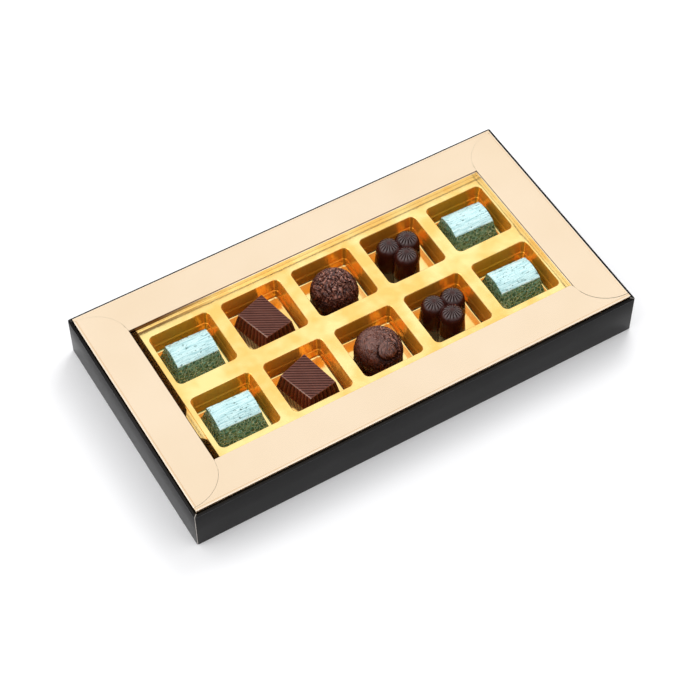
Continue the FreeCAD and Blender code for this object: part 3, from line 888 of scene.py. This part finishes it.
def settle(mesh, middle, turn):
    """Turns a mesh about the upright axis, in degrees, and moves it to its place."""
    mesh.transform(Matrix.Translation(Vector(middle * MM)) @ Matrix.Rotation(math.radians(turn), 4, "Z"))
    return mesh


print("front left cavity:", cavity_middle(0, 0))

# %% [markdown]
# ## Foil-wrapped loaves
# A loaf has an arched top and sloping sides. Foil pulled over it shows fine lines along its length on top,
# and where it is gathered down the sides it is crushed. The top is a grid bent to an arch, the sides lead
# from its border to the foot, and noise pushes them in and out.

# %% Foil of a loaf
LOAF_TOP, LOAF_FOOT, LOAF_HEIGHT, LOAF_ARCH = np.array([10.85, 7.2]), np.array([13.0, 10.1]), 12.35, 1.8
LOAF_EDGE, LOAF_EDGE_DROP, LINE_PITCH, LINE_DEPTH, LINE_WANDER = 0.5, 0.35, 0.95, 0.025, 0.12
CRUSH_COARSE, CRUSH_FINE, CRUSH_IN = 0.28, 0.14, 0.3
# Each noise is a spacing in millimetres and a seed.
WANDER_NOISE, DENT_NOISE, COARSE_NOISE, FINE_NOISE = (2.6, 3), (1.1, 4), (1.7, 5), (0.8, 6)


def loaf_top(key):
    """An arch that falls with the square of the distance from its ridge, with lines and dents."""
    u, v = unit_grid(121, 81)
    plan = np.stack([u * LOAF_TOP[0], v * LOAF_TOP[1], np.zeros_like(u)], axis=-1)
    wander = lattice_noise(plan + key, *WANDER_NOISE)
    lines = np.sin((plan[..., 1] + LINE_WANDER * wander) * 2 * math.pi / LINE_PITCH) * LINE_DEPTH
    near = smooth_step(0.72, 0.95, np.maximum(np.abs(u), np.abs(v)))
    dents = (0.05 + 0.3 * near) * np.minimum(lattice_noise(plan + key, *DENT_NOISE), 0)
    arch = LOAF_HEIGHT - LOAF_ARCH * v**2 + lines + dents
    edge = (np.abs(plan[..., :2]) - LOAF_TOP + LOAF_EDGE).max(axis=-1)
    plan[..., 2] = arch - LOAF_EDGE_DROP * np.clip(edge / LOAF_EDGE, 0, 1) ** 2
    return plan


def loaf_mesh(number, middle, turn):
    """The arch, and sides straight to the foot, pushed out and in by two noises, most of all halfway."""
    key = np.array([31.0 * number, 17.0, 5.0])
    top = loaf_top(key)
    rim = border_of(top)
    plan = rim[:, :2] / LOAF_TOP
    share = np.linspace(0, 1, 34)[1:, None, None]
    side = rim + (at_height(plan * LOAF_FOOT) - rim) * share
    out = at_height(plan)
    out /= np.maximum(np.linalg.norm(out, axis=1, keepdims=True), 1e-9)
    coarse, fine = (lattice_noise(side + key, *kind) for kind in (COARSE_NOISE, FINE_NOISE))
    crush = CRUSH_COARSE * coarse + CRUSH_FINE * fine - CRUSH_IN
    side = side + out * (crush * np.sin(math.pi * np.clip(share[..., 0] * 1.02, 0, 1)) ** 0.5)[..., None]
    crushed = np.repeat((0.0, 1.0), (top[..., 0].size, len(rim) * (len(side) + 1)))
    return settle(topped_block(f"foil_loaf_{number}", top, side, crushed=crushed), middle, turn)


print("a loaf's foot measures", *(2 * LOAF_FOOT), "mm")

# %% [markdown]
# ## Loaves under the foil
# The chocolate inside has the same arch and straight sides, smaller all round by the foil and its folds. It
# is seen only when the foil is taken off, so it stays plain.

# %% Loaves
CORE_INSET, CORE_FOOT = 0.9, 0.2
LOAF_SET = np.array([-0.2, 1.0, 0])
LOAVES = (0, 0, -2.0), (0, 1, -1.5), (4, 0, -1.9), (4, 1, -1.7)


def core_mesh(number, middle, turn):
    """The loaf's arch and straight sides, with both outlines and the height smaller by one inset."""
    u, v = unit_grid(25, 17)
    top_half, foot_half = LOAF_TOP - CORE_INSET, LOAF_FOOT - CORE_INSET
    top = np.stack([u * top_half[0], v * top_half[1], LOAF_HEIGHT - CORE_INSET - LOAF_ARCH * v**2], axis=-1)
    foot = at_height(border_of(top)[:, :2] / top_half * foot_half, CORE_FOOT)
    return settle(topped_block(f"loaf_core_{number}", top, foot[None]), middle, turn)


for number, (column, row, turn) in enumerate(LOAVES, start=1):
    place = cavity_middle(column, row) + LOAF_SET, turn
    body = f"loaf_{number}"
    add_piece(loaf_mesh(number, *place), foil, body, "foil", f"foil_wrapper_{number}")
    add_piece(core_mesh(number, *place), core_chocolate, body, "praline_core", f"foil_praline_{number}")

# %% [markdown]
# ## Ridged pralines
# These bars come out of a mould with fine ridges that cross the top askew and run down the sides. One wave
# of the place in plan gives both: on the top it lowers the surface, and at the border it pushes the sides
# in. The grooves and the sides get painted shade, one side most, and part of the moulded edge a painted
# highlight.

# %% Ridged bars
BAR_TOP, BAR_FOOT, BAR_HEIGHT, BAR_EDGE = np.array([10.4, 7.9]), np.array([11.95, 9.45]), 9.95, 0.5
BAR_SKEW, RIDGE_PITCH, RIDGE_DEPTH, RIDGE_ANGLE, BAR_ANGLE = (0.06, 0.045), 1.42, 0.55, -30.0, 104.0
SIDE_RINGS, AT_BORDER = 14, 0.9999


def ridge_wave(plan):
    """From 0 in a groove to 1 on a ridge: a rounded wave of the distance across the ridges."""
    angle = math.radians(RIDGE_ANGLE - BAR_ANGLE)
    across = plan[..., 1] * math.cos(angle) - plan[..., 0] * math.sin(angle)
    return np.abs(np.cos(across * math.pi / RIDGE_PITCH)) ** 0.8


def ridged_mesh(number, middle):
    """Top: a flat grid with the wave cut in. Sides: its border led to the foot, pushed in by the wave."""
    u, v = (np.sin(part * math.pi / 2) for part in unit_grid(161, 121))
    plan = np.stack([u * BAR_TOP[0] * (1 - BAR_SKEW[0] * v), v * BAR_TOP[1] * (1 + BAR_SKEW[1] * u)], axis=-1)
    inner = np.maximum(np.abs(u) * BAR_TOP[0] - BAR_TOP[0], np.abs(v) * BAR_TOP[1] - BAR_TOP[1]) + BAR_EDGE
    edge = np.clip(inner / BAR_EDGE, 0, 1)
    cut = (1 - ridge_wave(plan)) * (1 - edge)
    height = BAR_HEIGHT - BAR_EDGE * (1 - np.sqrt(1 - edge**2)) - RIDGE_DEPTH * cut
    top = np.concatenate([plan, height[..., None]], axis=-1)
    rim = border_of(top)
    inside = border_of(np.stack([u, v, np.zeros_like(u)], axis=-1))
    share = np.linspace(0, 1, SIDE_RINGS)[1:, None, None]
    side = rim + (at_height(inside[:, :2] * BAR_FOOT) - rim) * share
    out = inside * (np.abs(inside) > AT_BORDER)
    out /= np.linalg.norm(out, axis=1, keepdims=True)
    rib = (1 - ridge_wave(rim[:, :2]))[:, None] * np.minimum(share * SIDE_RINGS, 1) * (share < 1)
    side = side - out * RIDGE_DEPTH * rib

    # Painted shade in the ribs and on the sides, most on one side, and a painted highlight along part of the
    # top's edge.
    shade = 0.3 + 0.3 * rib + 0.2 * (inside[:, :1] < -AT_BORDER)
    highlighted_edge = edge * smooth_step(0.9, 0.97, v) * (0.65 - 0.35 * u)
    on_rim, on_side = np.zeros(len(rim)), np.zeros(rib.size)
    marks = {
        "painted_shade": smooth_step(0.15, 0.75, np.concatenate([cut.ravel(), on_rim, shade.ravel()])),
        "edge_highlight": np.concatenate([highlighted_edge.ravel(), on_rim, on_side]),
        "crown": np.concatenate([np.ones(u.size), on_rim, on_side]),
    }
    return settle(topped_block(f"ridged_bar_{number}", top, side, **marks), middle, BAR_ANGLE)


for number in (1, 2):
    mesh = ridged_mesh(number, cavity_middle(1, number - 1))
    add_piece(mesh, ridged_chocolate, f"ridged_{number}", "ridged_chocolate", f"ridged_praline_{number}")

# %% [markdown]
# ## A coil of chocolate
# The front truffle carries a coil, left where the chocolate was drawn off. It is a spiral groove on a low
# boss, with a hollow along one side, and it is written on the sphere itself: the angle from the coil's axis
# gives the distance outwards, and the turn about that axis winds the groove.

# %% Coil
CURL_AXES = np.array([(1.0, 0.07, -0.02), (-0.03, 0.74, 0.67), (0.06, -0.67, 0.74)])
CURL_SIZE, CURL_TURNS, CURL_HOLLOW, TRUFFLE_RADIUS = 0.42, 1.6, math.radians(225), 12.0


def unit_rays(polar, around):
    """Rays of length one over two angles: down from the top, and around the upright axis."""
    flat = np.sin(polar)
    parts = np.broadcast_arrays(flat * np.cos(around), flat * np.sin(around), np.cos(polar))
    return np.stack(parts, axis=-1)


def curl_depth(ray):
    """How deep the coil's groove and the hollow beside it lie along each ray, and where the coil is."""
    east, north, up = np.moveaxis(ray @ CURL_AXES.T, -1, 0)
    outward = np.arccos(np.clip(up, -1, 1)) / CURL_SIZE
    angle = np.arctan2(north, east)
    spiral = 0.5 + 0.5 * np.cos(2 * math.pi * CURL_TURNS * outward - angle)
    inside = 1 - smooth_step(0.8, 1.15, outward)
    hollow = (0.55 + 0.45 * np.cos(angle - CURL_HOLLOW)) * np.exp(-(((outward - 1.08) / 0.16) ** 2))
    return inside * (0.3 * outward**2 + 0.35 * (1 - spiral) ** 2), hollow, inside


print("the coil is about", round(2 * TRUFFLE_RADIUS * math.sin(CURL_SIZE), 1), "mm across")

# %% [markdown]
# ## Truffles
# A truffle is rolled in chocolate flakes, which stick to it in all directions. Bending the coordinates of a
# sawtooth of noise turns its steps into short curled strokes. One of the two has a smoother cap, where
# fewer flakes stuck, and the coil. Deep places get painted shade, and so do the sides, more and more
# towards the foot.

# %% Truffles
TRUFFLE_LIFT, SHARD_SHARE, FLAKE_SHARE, ROUGH_LEVEL = 3.8, 0.75, 0.4, 0.9
SHARD_NOISE, FLAKE_NOISE, LUMP_NOISE = (1.8, 14), (1.0, 15), (4.5, 16)
BEND_SPACING, BEND_SEEDS = 3.2, (11, 12, 13)
TRUFFLES = (1, (-0.6, -0.1, 0.8), 1), (2, (0, 0, -1), 0)


def flake_strokes(place, bend):
    """Coarse shards and fine flakes: the fraction of a noise whose coordinates are bent and stretched."""
    shards = np.mod(2.3 * lattice_noise((place + 2.0 * bend) * (1, 0.8, 0.6), *SHARD_NOISE), 1)
    flakes = np.mod(1.8 * lattice_noise((place + 1.4 * bend[..., ::-1]) * (0.7, 1, 1), *FLAKE_NOISE), 1)
    return SHARD_SHARE * shards + FLAKE_SHARE * flakes


def truffle_mesh(number, middle, cap, curl):
    """A sphere over two angles, its radius cut back by strokes of noise, less in the smooth cap and coil."""
    lowest = math.acos(-TRUFFLE_LIFT / TRUFFLE_RADIUS)
    around = np.linspace(0, 2 * math.pi, 360, endpoint=False)
    ray = unit_rays(np.linspace(0, lowest, 190)[:, None], around)
    place = ray * TRUFFLE_RADIUS + np.array([40.0 * number, 9.0, 3.0])
    bend = np.stack([lattice_noise(place, BEND_SPACING, seed) for seed in BEND_SEEDS], axis=-1)
    smooth = smooth_step(0.35, 0.75, ray @ (np.array(cap) / np.linalg.norm(cap)))
    depth = (ROUGH_LEVEL - flake_strokes(place, bend)) * (1 - 0.45 * smooth)
    depth = depth + 0.15 * lattice_noise(place, *LUMP_NOISE)
    bent = ray + 0.09 * bend
    bent /= np.linalg.norm(bent, axis=-1, keepdims=True)
    coil, hollow, inside = (curl * part for part in curl_depth(bent))
    depth = depth * (1 - 0.6 * inside) + 0.8 * coil + 0.8 * hollow
    coat = 0.8 * np.maximum(smooth, 0.5 * inside)
    points = ray * (TRUFFLE_RADIUS - np.clip(depth, 0, None))[..., None] + (0, 0, TRUFFLE_LIFT)
    points[-1, :, 2] = 0
    # Painted shade in deep places and on the sides, more and more towards the foot.
    crown = smooth_step(0.1, 0.95, ray[..., 2])
    painted_shade = np.clip(smooth_step(0.3, 0.85, depth) + 0.85 * (1 - crown), 0, 1)
    rows, columns = depth.shape
    faces = grid_faces(rows, columns, closed_columns=True) + [end_face(rows - 1, columns)]
    marks = {"painted_shade": painted_shade, "crown": crown, "coat": coat}
    return make_mesh(f"rough_truffle_{number}", points + middle, faces, crease=80, **marks)


for number, cap, curl in TRUFFLES:
    mesh = truffle_mesh(number, cavity_middle(2, number - 1), cap, curl)
    add_piece(mesh, truffle_chocolate, f"truffle_{number}", "truffle_chocolate", f"truffle_{number}")

# %% [markdown]
# ## The shape of a nut cluster
# Three nuts stand together under one coat of chocolate, each with a dome that is fluted like a flower. The
# cluster is written as a field that is negative inside: three tapering pillars with domes, blended softly
# where they meet. The same field says where a flute or a petal is.

# %% Nut field
NUT_TOP, NUT_RADIUS, NUT_FOOT, NUT_RING, NUT_ANGLE = 15.7, 6.25, 6.95, 5.9, 27.0
FLUTES, FLUTE_DEPTH, NUT_BLEND = 16, 0.5, 0.5
NUT_SHOULDER = NUT_TOP - NUT_RADIUS


def one_nut(points, nut):
    """How far outside one nut a point lies, from its axis or dome, and its share of flute and petal."""
    angle = math.radians(NUT_ANGLE + 120 * nut)
    x, y, z = np.moveaxis(points - NUT_RING * np.array([math.cos(angle), math.sin(angle), 0]), -1, 0)
    flat = np.hypot(x, y)
    above = np.maximum(z - NUT_SHOULDER, 0)
    taper = np.clip(z / NUT_SHOULDER, 0, 1)
    lean = np.arctan2(flat, above + 1e-9)
    petals = 0.5 + 0.5 * np.cos(FLUTES * np.arctan2(y, x))
    band = smooth_step(0.08, 0.3, lean) * (1 - smooth_step(0.6, 1.0, lean)) * (above > 0)
    flute = petals**3 * band
    distance = np.hypot(flat, above) - (NUT_FOOT + (NUT_RADIUS - NUT_FOOT) * taper) + FLUTE_DEPTH * flute
    return distance, np.stack([flute, band - flute])


def nut_field(points):
    """The three nuts as one: the nearer distance wins, with a soft blend where two are about as near."""
    result, marks = one_nut(points, 0)
    for nut in (1, 2):
        distance, here = one_nut(points, nut)
        part = np.clip(0.5 + 0.5 * (result - distance) / NUT_BLEND, 0, 1)
        result = result + (distance - result) * part - NUT_BLEND * part * (1 - part)
        marks = marks + (here - marks) * part
    return result, marks


print("a nut's dome starts", NUT_SHOULDER, "mm above its foot")

# %% [markdown]
# ## Nut clusters
# A fan of rays from the middle of the cluster finds where the field turns positive: coarse steps find the
# last place inside, and halving closes in on the surface. That gives one closed skin for all three nuts.
# The petals on the domes shine, and the flutes between them and the walls below get painted shade and stay
# dull.

# %% Nut clusters
NUT_EYE, FIRST_STEP, LAST_STEP, STEPS, HALVINGS = 4.5, 0.5, 17, 60, 12
DOME_FROM, DOME_TO = NUT_TOP - 0.85 * NUT_RADIUS, NUT_TOP - 0.25 * NUT_RADIUS
NUT_SET = np.array([0, 1.4, 0])


def nut_mesh(number, middle):
    """Rays over two angles from the eye: the field's last crossing, or the foot plane for rays going down."""
    around = np.linspace(0, 2 * math.pi, 260, endpoint=False)
    ray = unit_rays((np.linspace(0, 1, 150) ** 0.9 * math.pi)[:, None], around)
    eye = np.array([0, 0, NUT_EYE])
    near = np.zeros(ray.shape[:2])
    for length in np.linspace(FIRST_STEP, LAST_STEP, STEPS):
        near = np.where(nut_field(eye + ray * length)[0] < 0, length, near)
    far = near + LAST_STEP / (STEPS - 1)
    for _ in range(HALVINGS):
        half = (near + far) / 2
        inside = nut_field(eye + ray * half[..., None])[0] < 0
        near, far = np.where(inside, half, near), np.where(inside, far, half)
    floor = np.where(ray[..., 2] < -1e-9, -NUT_EYE / np.minimum(ray[..., 2], -1e-9), 1e9)
    points = eye + ray * np.minimum(near, floor)[..., None]
    dome = smooth_step(DOME_FROM, DOME_TO, points[..., 2])
    flute, petal = nut_field(points)[1]
    # Painted shade in the flutes and on the walls below the domes.
    painted_shade = np.maximum(smooth_step(0.1, 0.9, flute), 0.6 * (1 - dome))
    marks = {"crown": dome * (0.3 + 0.7 * petal), "painted_shade": painted_shade}
    faces = grid_faces(*near.shape, closed_columns=True)
    return make_mesh(f"nut_trio_{number}", points + middle, faces, crease=70, **marks)


for number in (1, 2):
    mesh = nut_mesh(number, cavity_middle(3, number - 1) + NUT_SET)
    add_piece(mesh, nut_chocolate, f"nuts_{number}", "nut_chocolate", f"nut_cluster_{number}")

# %% [markdown]
# ## Camera
# The camera looks from the left and from high above, through a long lens. Its turn, height, tilt and
# distance were found by fitting the box's corners.

# %% Camera
AZIMUTH, ELEVATION, ROLL, DISTANCE = math.radians(-30.09), math.radians(53.42), math.radians(-0.63), 0.9875
SHIFT_RIGHT, SHIFT_UP, FOCAL_PIXELS, PIXELS = -0.0062, -0.0003, 2024.07, 679

outwards = Vector((math.sin(AZIMUTH), -math.cos(AZIMUTH), 0))
back = math.cos(ELEVATION) * outwards + Vector((0, 0, math.sin(ELEVATION)))
level_right = Vector((math.cos(AZIMUTH), math.sin(AZIMUTH), 0))
level_up = back.cross(level_right)
right = math.cos(ROLL) * level_right + math.sin(ROLL) * level_up
up = math.cos(ROLL) * level_up - math.sin(ROLL) * level_right
lens = bpy.data.cameras.new("camera")
lens.sensor_width = 36
lens.lens = FOCAL_PIXELS / PIXELS * lens.sensor_width
camera = bpy.data.objects.new("camera", lens)
stand = Matrix.Translation(back * DISTANCE + right * SHIFT_RIGHT + up * SHIFT_UP)
camera.matrix_world = stand @ Matrix((right, up, back)).transposed().to_4x4()
bpy.context.scene.collection.objects.link(camera)
bpy.context.scene.camera = camera
print("lens:", round(lens.lens, 1), "mm")

# %% [markdown]
# ## Floor
# The table is white. Its own colour takes the shadow, and a little light of its own, seen only directly, in
# a reflection or through glass, lifts the open part to white without lighting the box.

# %% Floor
FLOOR_REACH, FLOOR_LEVEL, FLOOR_GLOW = 4.0, -0.0002, 0.08


def floor_finish():
    """White that keeps the shadow, plus a glow that only camera, glossy and transmitted rays see."""
    even = {"Roughness": 0.9, "Specular_IOR_Level": 0.1, "Emission_Color": (1, 1, 1, 1)}
    material, shader, add = new_finish("white_table", **even)
    cloud = noise(add, object_points(add), 30)
    path = add("ShaderNodeLightPath", {}).outputs
    seen = maths(add, "MAXIMUM", path["Is Camera Ray"], path["Is Glossy Ray"])
    seen = maths(add, "MAXIMUM", seen, path["Is Transmission Ray"])
    plug(
        shader,
        Base_Color=ramp(add, cloud, (0.0, (0.86, 0.86, 0.87)), (1.0, (0.88, 0.88, 0.89))),
        Emission_Strength=maths(add, "MULTIPLY", seen, FLOOR_GLOW),
    )
    return tell(material)


floor_mesh = bpy.data.meshes.new("floor")
floor_points = np.column_stack([FLOOR_REACH * CORNERS, np.full(len(CORNERS), FLOOR_LEVEL)])
floor_mesh.from_pydata(floor_points.tolist(), [], [(0, 1, 2, 3)])
floor_mesh.materials.append(floor_finish())
floor = bpy.data.objects.new("floor", floor_mesh)
bpy.context.scene.collection.objects.link(floor)

# %% [markdown]
# ## The room
# A gold mirror shows the room more than itself. This room is bright behind and above the box, has a bright
# wing on the right, and is dim on the camera's side, so the gold shows both bright and deep tones. Seen
# directly it is plain white.

# %% Room
BRIGHT_SIDE, BRIGHT_EDGES, BRIGHT_LEVELS = (-0.25, 0.75, 0.6), (-0.1, 0.62), (0.3, 1.15)
WING_EDGES, WING_LEVELS = (0.1, 0.28), (0.0, 1.15)


def light_step(add, value, edges, levels):
    """One level of light below the lower edge, another above the upper one, and a smooth rise in between."""
    words = "From Min", "From Max", "To Min", "To Max"
    inputs = {"Value": value, **dict(zip(words, edges + levels))}
    return add("ShaderNodeMapRange", inputs, interpolation_type="SMOOTHSTEP").outputs["Result"]


def set_room():
    """Strength by direction: how far it leans to the bright side or the right wing, whichever gives more."""
    world = bpy.data.worlds.new("studio")
    bpy.context.scene.world = world
    world.use_nodes = True
    add = node_adder(world.node_tree)
    direction = add("ShaderNodeTexCoord", {}).outputs["Generated"]
    inputs = {0: direction, 1: BRIGHT_SIDE}
    lean = add("ShaderNodeVectorMath", inputs, operation="DOT_PRODUCT").outputs["Value"]
    rightwards = add("ShaderNodeSeparateXYZ", {"Vector": direction}).outputs["X"]
    behind = light_step(add, lean, BRIGHT_EDGES, BRIGHT_LEVELS)
    room = maths(add, "MAXIMUM", behind, light_step(add, rightwards, WING_EDGES, WING_LEVELS))
    seen = add("ShaderNodeLightPath", {}).outputs["Is Camera Ray"]
    background = world.node_tree.nodes["Background"]
    background.inputs["Color"].default_value = (1, 1, 1, 1)
    plug(background, Strength=maths(add, "MAXIMUM", seen, room))
    return world


print("room:", set_room().name)

# %% [markdown]
# ## Lamps
# Three soft boxes help the room. The key lamp lights the box from the back right without showing in the
# gold. The front card is there only for gloss: it is what the flaps mirror. The left card brightens the
# short wall and the shadows a little.

# %% Lamps
def add_soft_box(name, place, width, power):
    """A square lamp that faces the middle of the box."""
    lamp = bpy.data.lights.new(name, "AREA")
    lamp.size, lamp.energy = width, power
    holder = bpy.data.objects.new(name, lamp)
    place = Vector(place)
    holder.matrix_world = Matrix.Translation(place) @ place.to_track_quat("Z", "Y").to_matrix().to_4x4()
    holder.visible_camera = False
    bpy.context.scene.collection.objects.link(holder)
    print(name, "gives", power, "W over", width, "m")
    return holder


add_soft_box("key", (0.6, 0.5, 0.8), 0.5, 4.0).visible_glossy = False
add_soft_box("front_card", (-0.3, -0.9, 0.72), 1.4, 4.6).visible_diffuse = False
add_soft_box("left_card", (-0.9, 0.08, 0.45), 0.8, 2.4)
bpy.context.scene.view_settings.view_transform = "Standard"
